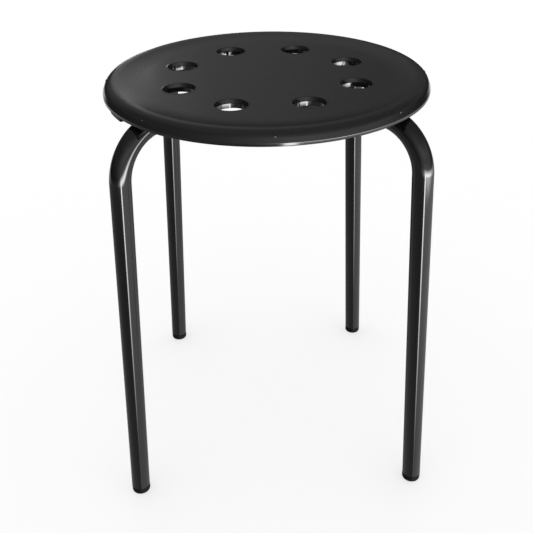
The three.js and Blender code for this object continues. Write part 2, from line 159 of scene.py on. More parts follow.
# What gloss meets, by height (the sine of the elevation) and then by azimuth in degrees, with the
# front 0 and the right 90. White is 1, and the window goes up to 22. The levels were worked out from
# how bright the photograph's gloss is, and then changed by trial until the bright lines fell there.
FLAGS = {
    -0.72: (
        (-180, 0.1), (-150, 0.26), (-120, 0.38), (-60, 0.34), (-15, 0.3), (8, 0.3), (11, 1.0),
        (16, 1.0), (19, 0.85), (50, 0.9), (90, 0.7), (130, 0.5), (155, 0.4), (180, 0.1),
    ),
    -0.64: (
        (-180, 0.08), (-150, 0.2), (-120, 0.38), (-60, 0.32), (-15, 0.28), (8, 0.3), (11, 1.4),
        (16, 1.4), (19, 0.95), (50, 1.0), (90, 0.75), (130, 0.52), (155, 0.3), (180, 0.08),
    ),
    -0.46: (
        (-180, 0.03), (-150, 0.03), (-120, 0.4), (-60, 0.25), (-15, 0.2), (7, 0.3), (9, 16.0),
        (16, 16.0), (19, 2.4), (24, 1.6), (35, 1.5), (70, 1.35), (110, 0.9), (130, 0.6),
        (155, 0.05), (180, 0.03),
    ),
    -0.35: (
        (-180, 0.03), (-150, 0.03), (-120, 0.3), (-60, 0.25), (-15, 0.25), (8, 0.4), (10, 22.0),
        (16, 22.0), (19, 2.4), (24, 1.6), (35, 1.5), (70, 1.35), (110, 0.9), (130, 0.4),
        (155, 0.05), (180, 0.03),
    ),
    -0.27: (
        (-180, 0.3), (-165, 0.5), (-152, 1.6), (-120, 1.6), (-100, 0.4), (-30, 0.3), (-10, 1.5),
        (5, 7.0), (10, 22.0), (50, 22.0), (70, 14.0), (90, 4.0), (120, 0.8), (150, 1.4),
        (162, 0.5), (180, 0.3),
    ),
    -0.12: (
        (-180, 0.02), (-90, 0.02), (-30, 0.16), (0, 0.8), (10, 1.4), (40, 1.4), (70, 0.8),
        (100, 0.12), (120, 0.04), (180, 0.02),
    ),
    0.1: (
        (-180, 0.04), (-120, 0.05), (-60, 0.1), (-30, 0.3), (0, 0.8), (50, 0.9), (75, 0.6),
        (100, 0.2), (120, 0.05), (180, 0.04),
    ),
    0.3: (
        (-180, 0.24), (-165, 0.2), (-140, 0.15), (-120, 0.1), (-60, 0.2), (-30, 0.4), (0, 0.9),
        (12, 1.2), (26, 1.2), (40, 1.0), (75, 0.8), (100, 0.3), (120, 0.15), (150, 0.15),
        (168, 0.12), (180, 0.24),
    ),
    0.6: (
        (-180, 0.4), (-150, 0.25), (-120, 0.12), (-45, 0.2), (0, 0.6), (45, 0.5), (90, 0.25),
        (120, 0.12), (150, 0.15), (180, 0.35),
    ),
    0.92: ((-180, 0.3), (180, 0.3)),
}
where = add_node(sky, "ShaderNodeTexCoord")
split = add_node(sky, "ShaderNodeSeparateXYZ", links={"Vector": where.outputs["Generated"]})
ahead = add_node(
    sky, "ShaderNodeMath", {"operation": "MULTIPLY"}, {1: -1.0}, {0: split.outputs["Y"]}
)
azimuth = add_node(
    sky,
    "ShaderNodeMath",
    {"operation": "ARCTAN2"},
    links={0: split.outputs["X"], 1: ahead.outputs[0]},
)
side = add_node(
    sky,
    "ShaderNodeMapRange",
    values={"From Min": -math.pi, "From Max": math.pi},
    links={"Value": azimuth.outputs[0]},
)
flags = lower = None
for height, band in FLAGS.items():
    levels = add_node(sky, "ShaderNodeValToRGB", links={"Fac": side.outputs[0]})
    ramp = levels.color_ramp
    while len(ramp.elements) < len(band):
        ramp.elements.new(0.5)
    for element, (degrees, level) in zip(ramp.elements, band):
        element.position = (degrees + 180.0) / 360.0
        element.color = (level, level, level, 1.0)
    if flags is None:
        flags = levels.outputs["Color"]
    else:
        rise = add_node(
            sky,
            "ShaderNodeMapRange",
            values={"From Min": lower, "From Max": height},
            links={"Value": split.outputs["Z"]},
        )
        flags = add_node(
            sky,
            "ShaderNodeMix",
            {"data_type": "RGBA"},
            links={0: rise.outputs[0], 6: flags, 7: levels.outputs["Color"]},
        ).outputs[2]
    lower = height

rays, seen = seen_rays(sky)
backdrop = add_node(
    sky,
    "ShaderNodeMix",
    {"data_type": "RGBA"},
    {6: WHITE},
    {0: rays.outputs["Is Glossy Ray"], 7: flags},
)
studio = add_node(
    sky,
    "ShaderNodeMix",
    {"data_type": "RGBA"},
    {6: WHITE},
    {0: seen.outputs[0], 7: backdrop.outputs[2]},
)
glow = add_node(sky, "ShaderNodeBackground", links={"Color": studio.outputs[2]})
add_node(sky, "ShaderNodeOutputWorld", links={"Surface": glow.outputs[0]})


def add_lamp(name, place, target, width, height, power):
    """Hangs a rectangular lamp that faces a point and that no camera sees, in metres and watts."""
    lamp_data = bpy.data.lights.new(name, "AREA")
    lamp_data.shape = "RECTANGLE"
    lamp_data.size = width
    lamp_data.size_y = height
    lamp_data.energy = power
    lamp = bpy.data.objects.new(name, lamp_data)
    bpy.context.collection.objects.link(lamp)
    lamp.location = place
    lamp.rotation_euler = (Vector(target) - Vector(place)).to_track_quat("-Z", "Y").to_euler()
    lamp.visible_camera = False
    return lamp


# Two small lamps behind the seat at the left, one close and low, haze the slope inside its rim.
add_lamp("rear_left", (-0.20, 0.42, 0.487), (-0.15, 0.0, 0.44), 0.08, 0.03, 0.03)
add_lamp("rear_high", (-0.20, 0.94, 0.80), (-0.10, 0.0, 0.44), 0.15, 0.15, 0.015)

# The two hoops: each is one steel tube, 20 mm across with a 1.5 mm wall, drawn round a former into
# leg, crossbar and leg. They cross behind the seat's middle, and the lower one dips to pass under.
# Both are coated with gloss black enamel, baked on.
MM = 0.001
TUBE_RADIUS = 10.0
TUBE_WALL = 1.5
TUBE_SIDES = 48
BEND_RADIUS = 48.0
BEND_STEPS = 30
KNEE_REACH = 171.5
LEG_SPLAY = math.radians(4.07)
CROSSBAR_HEIGHT = 420.9
LOW_CROSSBAR_HEIGHT = 398.3
TUBE_END = 8.3
CROSSING_BACK = 27.6
HOOP_TURN = math.radians(45.0)
DIP_MARGIN = 26.3
DIP_FLOOR_SHARE = 0.38
DIP_RADIUS = 45.0
DIP_STEPS = 10
SEAT_BOLT_INSET = 12.8
SEAT_BOLT_HOLE = 2.8
CROSSING_BOLT_HOLE = 3.3
HOLE_SIDES = 32
ENAMEL_COLOUR = "0d0d0e"
CREASE = math.radians(30.0)
DRILL_REACH = 1.2  # a drill's reach to each side of a tube's axis, as a share of its radius

leg_foot_reach = KNEE_REACH + CROSSBAR_HEIGHT * math.tan(LEG_SPLAY)
bend_start = KNEE_REACH - BEND_RADIUS * math.tan((math.pi / 2 - LEG_SPLAY) / 2)
seat_bolt_reach = bend_start - SEAT_BOLT_INSET
crossing_along = CROSSING_BACK * math.sin(HOOP_TURN)
dip_high = seat_bolt_reach - DIP_MARGIN - crossing_along
dip_low = DIP_FLOOR_SHARE * dip_high


def take(piece):
    """Makes one piece the only one selected."""
    bpy.ops.object.select_all(action="DESELECT")
    piece.select_set(True)
    bpy.context.view_layer.objects.active = piece


def bend_bar(name, radius, corners):
    """Draws a round bar along corners in the X-Z plane: x, z, bend radius and steps of each."""
    places = [Vector((x, 0.0, z)) * MM for x, z, bend, steps in corners]
    heading = (places[1] - places[0]).normalized()
    bpy.ops.object.select_all(action="DESELECT")
    bpy.ops.mesh.primitive_circle_add(
        vertices=TUBE_SIDES,
        radius=radius * MM,
        location=places[0],
        rotation=(0.0, math.atan2(heading.x, heading.z), 0.0),
    )
    bar = bpy.context.object
    bar.name = name
    bpy.ops.object.transform_apply(location=True, rotation=True, scale=True)
    bpy.ops.object.mode_set(mode="EDIT")
    bpy.ops.mesh.select_all(action="SELECT")
    at = places[0]
    for i, (x, z, bend, steps) in enumerate(corners[1:-1], start=1):
        onward = (places[i + 1] - places[i]).normalized()
        turn = math.atan2(heading.z * onward.x - heading.x * onward.z, heading.dot(onward))
        start = places[i] - heading * bend * MM * math.tan(abs(turn) / 2)
        bpy.ops.mesh.extrude_region_move(TRANSFORM_OT_translate={"value": start - at})
        inside = Vector((heading.z, 0.0, -heading.x)) * math.copysign(bend * MM, turn)
        bpy.ops.mesh.spin(steps=steps, angle=turn, center=start + inside, axis=(0.0, -1.0, 0.0))
        at = places[i] + onward * bend * MM * math.tan(abs(turn) / 2)
        heading = onward
    bpy.ops.mesh.extrude_region_move(TRANSFORM_OT_translate={"value": places[-1] - at})
    bpy.ops.mesh.select_all(action="SELECT")
    bpy.ops.mesh.fill_holes(sides=0)
    bpy.ops.mesh.normals_make_consistent(inside=False)
    bpy.ops.object.mode_set(mode="OBJECT")
    return bar


def hoop_corners(dips):
    """A hoop's corners from one foot to the other, over the crossbar."""
    dip = [
        (crossing_along - dip_high, CROSSBAR_HEIGHT, DIP_RADIUS, DIP_STEPS),
        (crossing_along - dip_low, LOW_CROSSBAR_HEIGHT, DIP_RADIUS, DIP_STEPS),
        (crossing_along + dip_low, LOW_CROSSBAR_HEIGHT, DIP_RADIUS, DIP_STEPS),
        (crossing_along + dip_high, CROSSBAR_HEIGHT, DIP_RADIUS, DIP_STEPS),
    ]
    return [
        (-leg_foot_reach, 0.0, 0.0, 0),
        (-KNEE_REACH, CROSSBAR_HEIGHT, BEND_RADIUS, BEND_STEPS),
        *(dip if dips else []),
        (KNEE_REACH, CROSSBAR_HEIGHT, BEND_RADIUS, BEND_STEPS),
        (leg_foot_reach, 0.0, 0.0, 0),
    ]


def drill(radius, low, high, x=0.0, y=0.0, sides=HOLE_SIDES):
    """An upright round cutter, in millimetres."""
    bpy.ops.object.select_all(action="DESELECT")
    bpy.ops.mesh.primitive_cylinder_add(
        vertices=sides,
        radius=radius * MM,
        depth=(high - low) * MM,
        location=Vector((x, y, (low + high) / 2)) * MM,
    )
    return bpy.context.object


def merge(piece, tools, operation):
    """Joins tools to a piece, or cuts them out of it, one after another."""
    for tool in tools:
        step = piece.modifiers.new("merge", "BOOLEAN")
        step.operation = operation
        step.solver = "MANIFOLD"
        step.object = tool
        take(piece)
        bpy.ops.object.modifier_apply(modifier=step.name)
        bpy.data.objects.remove(tool)


def put(piece, x=0.0, y=0.0, z=0.0, turn=0.0):
    """Turns a piece about Z, moves it from the seat's axis by millimetres, and applies both."""
    piece.rotation_euler = (0.0, 0.0, turn)
    piece.location = Vector((x, y, z)) * MM + Vector((0.0, SEAT_AXIS_Y, 0.0))
    take(piece)
    bpy.ops.object.transform_apply(location=True, rotation=True, scale=True)


def hoop_turn(side):
    """The crossbar's angle, for the hoop with side 1 and for its mirror image with side -1."""
    return HOOP_TURN if side > 0 else math.pi - HOOP_TURN


def on_hoop(side, along):
    """Where a point along a crossbar lies, from the seat's axis."""
    x = -crossing_along * math.cos(HOOP_TURN) + along * math.cos(HOOP_TURN)
    y = CROSSING_BACK - crossing_along * math.sin(HOOP_TURN) + along * math.sin(HOOP_TURN)
    return {"x": side * x, "y": y}


def smooth(piece, crease):
    """Shades a piece smooth but for its creases, with the large faces kept flat."""
    take(piece)
    bpy.ops.object.shade_smooth_by_angle(angle=crease)
    weigh = piece.modifiers.new("weigh", "WEIGHTED_NORMAL")
    weigh.keep_sharp = True
    bpy.ops.object.modifier_apply(modifier=weigh.name)


def coat(piece, finish):
    """Gives a piece one finish all over, in place of the slots that joining and cutting leave."""
    piece.data.materials.clear()
    piece.data.materials.append(finish)


def new_finish(name):
    """A material with its tree, its shader and its Object coordinates."""
    finish = bpy.data.materials.new(name)
    finish.use_nodes = True
    tree = finish.node_tree
    coordinates = add_node(tree, "ShaderNodeTexCoord")
    return finish, tree, tree.nodes["Principled BSDF"], coordinates.outputs["Object"]


def per_metre(size_mm):
    """The scale at which a pattern repeats at this size."""
    return 1.0 / (size_mm * MM)


# Baked enamel over drawn steel: deep gloss with a faint orange peel, which the eye sees in the
# slightly wavering edges of the reflections.
ENAMEL_ROUGHNESS = 0.07
PEEL_SIZE = 1.6
PEEL_DEPTH = 0.003
enamel, tree, shader, place = new_finish("baked_black_enamel")
shader.inputs["Base Color"].default_value = linear(ENAMEL_COLOUR)
shader.inputs["Roughness"].default_value = ENAMEL_ROUGHNESS
peel = add_node(
    tree,
    "ShaderNodeTexNoise",
    values={"Scale": per_metre(PEEL_SIZE), "Detail": 2.0, "Roughness": 0.5},
    links={"Vector": place},
)
peel_bump = add_node(
    tree,
    "ShaderNodeBump",
    values={"Strength": 0.4, "Distance": PEEL_DEPTH * MM},
    links={"Height": peel.outputs["Fac"]},
)
tree.links.new(peel_bump.outputs["Normal"], shader.inputs["Normal"])

for node, side, dips in (("hoop_upper", 1, False), ("hoop_lower", -1, True)):
    hoop = bend_bar(node.replace("hoop_", "") + "_hoop_tube", TUBE_RADIUS, hoop_corners(dips))
    bpy.ops.object.mode_set(mode="EDIT")
    bpy.ops.mesh.select_all(action="SELECT")
    bpy.ops.mesh.bisect(
        plane_co=(0.0, 0.0, TUBE_END * MM), plane_no=(0.0, 0.0, 1.0), clear_inner=True
    )
    bpy.ops.mesh.select_all(action="SELECT")
    bpy.ops.mesh.fill_holes(sides=0)
    bpy.ops.mesh.normals_make_consistent(inside=False)
    bpy.ops.object.mode_set(mode="OBJECT")
    bore = bend_bar("bore", TUBE_RADIUS - TUBE_WALL, hoop_corners(dips))
    crossing_height = LOW_CROSSBAR_HEIGHT if dips else CROSSBAR_HEIGHT
    reach = DRILL_REACH * TUBE_RADIUS
    low, high = CROSSBAR_HEIGHT - reach, CROSSBAR_HEIGHT + reach
    merge(
        hoop,
        [
            bore,
            drill(SEAT_BOLT_HOLE, low, high, -seat_bolt_reach),
            drill(SEAT_BOLT_HOLE, low, high, seat_bolt_reach),
            drill(
                CROSSING_BOLT_HOLE,
                crossing_height - reach,
                crossing_height + reach,
                crossing_along,
            ),
        ],
        "DIFFERENCE",
    )
    put(hoop, **on_hoop(side, 0.0), turn=hoop_turn(side))
    smooth(hoop, CREASE)
    coat(hoop, enamel)
    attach(hoop, "root")
    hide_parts(node)

# The foot plugs: black polyethylene mouldings pushed into the tubes' ends, each with a level foot
# as wide as the tube and a stem with two rings that grip the bore.
PLUG_HEIGHT = 8.0
PLUG_EDGE = 2.2
PLUG_TOP_EDGE = 0.7
STEM_CORE = 6.9
STEM_GRIP = 8.2
STEM_LENGTH = 20.0
STEM_RINGS = ((4.0, 5.0, 7.5, 8.5), (14.0, 15.0, 17.5, 18.5))
STEM_ROOT = 1.0  # how far the stem starts inside the foot
ROUND_STEPS = 64
foot_reach = KNEE_REACH + (CROSSBAR_HEIGHT - PLUG_HEIGHT) * math.tan(LEG_SPLAY)


def arc(centre, radius, start, end, steps):
    """Points of an arc, each a radius from the axis and a height."""
    turns = [math.radians(start + (end - start) * i / steps) for i in range(steps + 1)]
    return [(centre[0] + radius * math.cos(t), centre[1] + radius * math.sin(t)) for t in turns]


def spin_outline(name, outline, steps=ROUND_STEPS):
    """Pulls a vertex along a half outline, of radius and height in mm, and spins it about Z."""
    bpy.ops.object.select_all(action="DESELECT")
    bpy.ops.mesh.primitive_plane_add(size=MM)
    piece = bpy.context.object
    piece.name = name
    bpy.ops.object.mode_set(mode="EDIT")
    bpy.ops.mesh.select_all(action="SELECT")
    bpy.ops.mesh.merge(type="CENTER")
    bpy.ops.transform.translate(value=(outline[0][0] * MM, 0.0, outline[0][1] * MM))
    for (radius, up), (next_radius, next_up) in zip(outline, outline[1:]):
        step = ((next_radius - radius) * MM, 0.0, (next_up - up) * MM)
        bpy.ops.mesh.extrude_region_move(TRANSFORM_OT_translate={"value": step})
    bpy.ops.mesh.select_all(action="SELECT")
    bpy.ops.mesh.spin(steps=steps, angle=2 * math.pi, center=(0.0, 0.0, 0.0), axis=(0.0, 0.0, 1.0))
    bpy.ops.mesh.select_all(action="SELECT")
    bpy.ops.mesh.remove_doubles(threshold=0.001 * MM)
    bpy.ops.mesh.normals_make_consistent(inside=False)
    bpy.ops.object.mode_set(mode="OBJECT")
    return piece


def copy_of(piece, name):
    """A copy of a modelled piece, with a mesh of its own."""
    take(piece)
    bpy.ops.object.duplicate()
    copy = bpy.context.object
    copy.name = name
    return copy


# Moulded polyethylene: dull black with a fine satin grain. Its specular level is far under that of
# real polyethylene, so that the plug reads as the photograph's dark band.
PLUG_COLOUR = "0d0d0e"
PLUG_DARK_COLOUR = "080809"
PLUG_ROUGHNESS = 0.5
PLUG_SPECULAR = 0.08
PLUG_GRAIN_SIZE = 0.7
PLUG_GRAIN_DEPTH = 0.02
plug_plastic, tree, shader, place = new_finish("moulded_black_polyethylene")
grain = add_node(
    tree,
    "ShaderNodeTexNoise",
    values={"Scale": per_metre(PLUG_GRAIN_SIZE), "Detail": 3.0, "Roughness": 0.6},
    links={"Vector": place},
)
plug_tone = add_node(tree, "ShaderNodeValToRGB", links={"Fac": grain.outputs["Fac"]})
plug_tone.color_ramp.elements[0].color = linear(PLUG_DARK_COLOUR)
plug_tone.color_ramp.elements[1].color = linear(PLUG_COLOUR)
plug_bump = add_node(
    tree,
    "ShaderNodeBump",
    values={"Strength": 0.6, "Distance": PLUG_GRAIN_DEPTH * MM},
    links={"Height": grain.outputs["Fac"]},
)
tree.links.new(plug_tone.outputs["Color"], shader.inputs["Base Color"])
tree.links.new(plug_bump.outputs["Normal"], shader.inputs["Normal"])
shader.inputs["Roughness"].default_value = PLUG_ROUGHNESS
shader.inputs["Specular IOR Level"].default_value = PLUG_SPECULAR

plug = spin_outline(
    "plug",
    [
        (0.0, 0.0),
        *arc((TUBE_RADIUS - PLUG_EDGE, PLUG_EDGE), PLUG_EDGE, -90, 0, 8),
        *arc((TUBE_RADIUS - PLUG_TOP_EDGE, PLUG_HEIGHT - PLUG_TOP_EDGE), PLUG_TOP_EDGE, 0, 90, 4),
        (0.0, PLUG_HEIGHT),
    ],
)
stem_rings = [
    (radius, up)
    for ring in STEM_RINGS
    for radius, up in zip((STEM_CORE, STEM_GRIP, STEM_GRIP, STEM_CORE), ring)
]
stem = spin_outline(
    "stem",
    [
        (0.0, -STEM_ROOT),
        (STEM_CORE, -STEM_ROOT),
        *stem_rings,
        (STEM_CORE, STEM_LENGTH),
        (0.0, STEM_LENGTH),
    ],
)
stem.rotation_euler = (0.0, -LEG_SPLAY, 0.0)
stem.location = (0.0, 0.0, PLUG_HEIGHT * MM)
take(stem)
bpy.ops.object.transform_apply(location=True, rotation=True, scale=True)
merge(plug, [stem], "UNION")

ARMS = (("front_left", 1, -1), ("back_right", 1, 1), ("front_right", -1, -1), ("back_left", -1, 1))


def arm_turn(side, end):
    """The angle at which an arm points away from its hoop's middle."""
    return hoop_turn(side) + (0.0 if end > 0 else math.pi)


for arm, side, end in ARMS:
    foot = copy_of(plug, "plug_moulding_" + arm)
    put(foot, **on_hoop(side, end * foot_reach), turn=arm_turn(side, end))
    smooth(foot, CREASE)
    coat(foot, plug_plastic)
    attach(foot, "root")
    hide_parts("foot_plug_" + arm)
bpy.data.objects.remove(plug)

# The spacer where the hoops cross: a thick black nylon disc, hollowed to each tube, which keeps
# their enamel from rubbing. The crossing bolt goes through it. It has the plugs' dull finish.
SPACER_RADIUS = 13.0
SPACER_GRIP = 4.0
SPACER_EDGE = 0.5
FIT = 0.3


def tube_room(axis_height, turn, length):
    """A straight run of a tube's outside with clearance, at a height and an angle."""
    bpy.ops.object.select_all(action="DESELECT")
    bpy.ops.mesh.primitive_cylinder_add(
        vertices=TUBE_SIDES,
        radius=(TUBE_RADIUS + FIT) * MM,
        depth=length * MM,
        location=(0.0, 0.0, axis_height * MM),
        rotation=(0.0, math.pi / 2, turn),
    )
    return bpy.context.object


spacer_low = LOW_CROSSBAR_HEIGHT + TUBE_RADIUS - SPACER_GRIP
spacer_high = CROSSBAR_HEIGHT - TUBE_RADIUS + SPACER_GRIP
spacer_side = SPACER_RADIUS - SPACER_EDGE
spacer = spin_outline(
    "nylon_crossing_spacer",
    [
        (CROSSING_BOLT_HOLE, spacer_low),
        *arc((spacer_side, spacer_low + SPACER_EDGE), SPACER_EDGE, -90, 0, 4),
        *arc((spacer_side, spacer_high - SPACER_EDGE), SPACER_EDGE, 0, 90, 4),
        (CROSSING_BOLT_HOLE, spacer_high),
        (CROSSING_BOLT_HOLE, spacer_low),
    ],
)
merge(
    spacer,
    [
        tube_room(CROSSBAR_HEIGHT, hoop_turn(1), 3 * SPACER_RADIUS),
        tube_room(LOW_CROSSBAR_HEIGHT, hoop_turn(-1), 3 * SPACER_RADIUS),
    ],
    "DIFFERENCE",
)
put(spacer, y=CROSSING_BACK)
smooth(spacer, CREASE)
coat(spacer, plug_plastic)
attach(spacer, "root")
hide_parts("crossing_spacer")

# The crossing's bolt, curved washer and nut: zinc-plated steel, cold formed. The bolt comes from
# above, its low head with a hexagon socket in the ribs' room, and the nut sits below the dip.
CROSSING_BOLT_RADIUS = 3.0
CROSSING_HEAD_RADIUS = 6.0
CROSSING_HEAD_HEIGHT = 2.5
CROSSING_SOCKET = 2.3
SOCKET_SHARE = 0.6
WASHER_PLATE = 1.5
WASHER_GRIP = 2.4
WASHER_RADIUS = 7.0
NUT_CORNER = 5.6
NUT_HEIGHT = 5.0
NUT_FACE = 4.9
NUT_CHAMFER_REACH = 5.7
NUT_CHAMFER_HEIGHT = 0.45
BOLT_TAIL = 1.5
HEXAGON = 6
SMALL_STEPS = 48
# A head's upright side and its flat face, and a tip's bevel, as shares of height and radius.
HEAD_SIDE_SHARE = 0.4
HEAD_FACE_SHARE = 0.55
TIP_SHARE = 0.25
HEAD_DOME_TURNS = tuple(math.radians(7.5 * i) for i in range(6))
WASHER_EDGE = 0.25
OVERRUN = 1.0  # how far a cutter runs past what it cuts
nut_top = LOW_CROSSBAR_HEIGHT - TUBE_RADIUS - WASHER_PLATE - 2 * FIT
nut_low = nut_top - NUT_HEIGHT

# Bright zinc plating: a cool grey metal, blotched where it passivated, with fine rub marks.
ZINC_DARK_COLOUR = "9a9fa6"
ZINC_PALE_COLOUR = "c6c8c9"
ZINC_ROUGHNESS = (0.26, 0.42)
BLOTCH_SIZE = 3.0
BLOTCH_DEPTH = 0.01
zinc, tree, shader, place = new_finish("bright_zinc_plating")
blotch = add_node(
    tree,
    "ShaderNodeTexNoise",
    values={"Scale": per_metre(BLOTCH_SIZE), "Detail": 4.0, "Roughness": 0.6},
    links={"Vector": place},
)
zinc_tone = add_node(tree, "ShaderNodeValToRGB", links={"Fac": blotch.outputs["Fac"]})
zinc_tone.color_ramp.elements[0].color = linear(ZINC_DARK_COLOUR)
zinc_tone.color_ramp.elements[1].color = linear(ZINC_PALE_COLOUR)
zinc_rub = add_node(
    tree,
    "ShaderNodeMapRange",
    values={"To Min": ZINC_ROUGHNESS[0], "To Max": ZINC_ROUGHNESS[1]},
    links={"Value": blotch.outputs["Fac"]},
)
zinc_bump = add_node(
    tree,
    "ShaderNodeBump",
    values={"Strength": 0.4, "Distance": BLOTCH_DEPTH * MM},
    links={"Height": blotch.outputs["Fac"]},
)
tree.links.new(zinc_tone.outputs["Color"], shader.inputs["Base Color"])
tree.links.new(zinc_rub.outputs["Result"], shader.inputs["Roughness"])
tree.links.new(zinc_bump.outputs["Normal"], shader.inputs["Normal"])
shader.inputs["Metallic"].default_value = 1.0


def socket_screw(name, radius, head_radius, head_height, socket, length):
    """A screw that stands on its low domed head, with a hexagon socket in it."""
    side = HEAD_SIDE_SHARE * head_height
    dome = [
        (head_radius * math.cos(t), head_height - side - (head_height - side) * math.sin(t))
        for t in HEAD_DOME_TURNS
    ]
    screw = spin_outline(
        name,
        [
            (0.0, 0.0),
            (HEAD_FACE_SHARE * head_radius, 0.0),
            *reversed(dome),
            (head_radius, head_height),
            (radius, head_height),
            (radius, length - TIP_SHARE * radius),
            ((1 - TIP_SHARE) * radius, length),
            (0.0, length),
        ],
        SMALL_STEPS,
    )
    hexagon = drill(socket, -OVERRUN, SOCKET_SHARE * head_height, sides=HEXAGON)
    merge(screw, [hexagon], "DIFFERENCE")
    return screw


def saddle_washer(name, axis_height, hole, turn):
    """A round washer, hollowed on top to sit under a tube."""
    low = axis_height - TUBE_RADIUS - FIT - WASHER_PLATE
    high = low + WASHER_PLATE + WASHER_GRIP
    edge = WASHER_EDGE
    washer = spin_outline(
        name,
        [
            (hole, low),
            *arc((WASHER_RADIUS - edge, low + edge), edge, -90, 0, 3),
            *arc((WASHER_RADIUS - edge, high - edge), edge, 0, 90, 3),
            (hole, high),
            (hole, low),
        ],
        SMALL_STEPS,
    )
    merge(washer, [tube_room(axis_height, turn, 3 * WASHER_RADIUS)], "DIFFERENCE")
    return washer


bolt_head_top = CROSSBAR_HEIGHT + TUBE_RADIUS + FIT + CROSSING_HEAD_HEIGHT
crossing_bolt = socket_screw(
    "zinc_crossing_bolt",
    CROSSING_BOLT_RADIUS,
    CROSSING_HEAD_RADIUS,
    CROSSING_HEAD_HEIGHT,
    CROSSING_SOCKET,
    bolt_head_top - nut_low + BOLT_TAIL,
)
crossing_bolt.rotation_euler = (math.pi, 0.0, 0.0)
take(crossing_bolt)
bpy.ops.object.transform_apply(location=True, rotation=True, scale=True)
put(crossing_bolt, y=CROSSING_BACK, z=bolt_head_top)

crossing_washer = saddle_washer(
    "zinc_crossing_washer", LOW_CROSSBAR_HEIGHT, CROSSING_BOLT_HOLE, hoop_turn(-1)
)
put(crossing_washer, y=CROSSING_BACK)

crossing_nut = drill(NUT_CORNER, nut_low, nut_top, sides=HEXAGON)
crossing_nut.name = "zinc_crossing_nut"
bpy.ops.object.transform_apply(location=True, rotation=True, scale=True)
chamfer = spin_outline(
    "chamfer",
    [
        (0.0, nut_low),
        (NUT_FACE, nut_low),
        (NUT_CHAMFER_REACH, nut_low + NUT_CHAMFER_HEIGHT),
        (NUT_CHAMFER_REACH, nut_top - NUT_CHAMFER_HEIGHT),
        (NUT_FACE, nut_top),
        (0.0, nut_top),
    ],
    SMALL_STEPS,
)
merge(crossing_nut, [chamfer], "INTERSECT")
nut_bore = drill(CROSSING_BOLT_HOLE, nut_low - OVERRUN, nut_top + OVERRUN)
merge(crossing_nut, [nut_bore], "DIFFERENCE")
put(crossing_nut, y=CROSSING_BACK)

for piece, node in (
    (crossing_bolt, "crossing_bolt"),
    (crossing_washer, "crossing_washer"),
    (crossing_nut, "crossing_nut"),
):
    smooth(piece, CREASE)
    coat(piece, zinc)
    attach(piece, "root")
    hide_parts(node)

# The seat: one injection moulding in black polypropylene, 320 mm across. A flat deck of 3.4 mm
# rises to a rim that rolls over and down, with eight sleeved finger holes, and ribs and four
# cradles for the tubes under it.
SEAT_TOP = 441.0
SEAT_RADIUS = 160.0
DECK_WALL = 3.4
DISH_DEPTH = 3.0
DISH_FLAT_RADIUS = 120.0
CREST_BLEND = 28.0
ROLL_RADIUS = 9.0
RIM_DEPTH = 12.5
RIM_DRAFT = 14.0
RIM_EDGE = 1.0
RIM_LIP = 2.0  # the upright lip at the rim's foot
LIP_STEP_IN = 0.08  # the small step above it
LIP_STEP_HEIGHT = 0.35
ROLL_START = 20.0  # where the roll's curve starts above that step, in degrees
RIB_ROOT_SHARE = 0.8  # how far the ribs run up into the deck, of its wall
SEAT_STEPS = 240
deck_top = SEAT_TOP - DISH_DEPTH
deck_under = deck_top - DECK_WALL
rib_top = deck_under + RIB_ROOT_SHARE * DECK_WALL
skirt_top = SEAT_TOP - ROLL_RADIUS * (1 - math.sin(math.radians(RIM_DRAFT)))
skirt_foot = SEAT_TOP - RIM_DEPTH + RIM_EDGE
lip_top = skirt_foot + RIM_LIP
skirt_flare = (skirt_top - skirt_foot) * math.tan(math.radians(RIM_DRAFT))
crest_radius = SEAT_RADIUS - skirt_flare - ROLL_RADIUS * math.cos(math.radians(RIM_DRAFT))
rise_width = crest_radius - DISH_FLAT_RADIUS
rise_slope = 2 * math.degrees(math.atan(DISH_DEPTH / rise_width))
hollow = rise_width / math.sin(math.radians(rise_slope)) - CREST_BLEND
rise = [
    *arc((DISH_FLAT_RADIUS, deck_top + hollow), hollow, -90, rise_slope - 90, 14),
    *arc((crest_radius, SEAT_TOP - CREST_BLEND), CREST_BLEND, rise_slope + 90, 90, 10)[1:],
]
roll_centre = (crest_radius, SEAT_TOP - ROLL_RADIUS)
inner_radius = SEAT_RADIUS - DECK_WALL

seat = spin_outline(
    "moulded_seat",
    [
        (0.0, deck_under),
        *[(radius, up - DECK_WALL) for radius, up in rise],
        *arc(roll_centre, ROLL_RADIUS - DECK_WALL, 90, RIM_DRAFT, 12)[1:],
        *arc((inner_radius + RIM_EDGE, skirt_foot), RIM_EDGE, 180, 270, 5),
        *arc((SEAT_RADIUS - RIM_EDGE, skirt_foot), RIM_EDGE, 270, 360, 5),
        (SEAT_RADIUS, lip_top),
        (SEAT_RADIUS - LIP_STEP_IN, lip_top + LIP_STEP_HEIGHT),
        *arc(roll_centre, ROLL_RADIUS, ROLL_START, 90, 20),
        *rise[-2::-1],
        (0.0, deck_top),
    ],
    SEAT_STEPS,
)

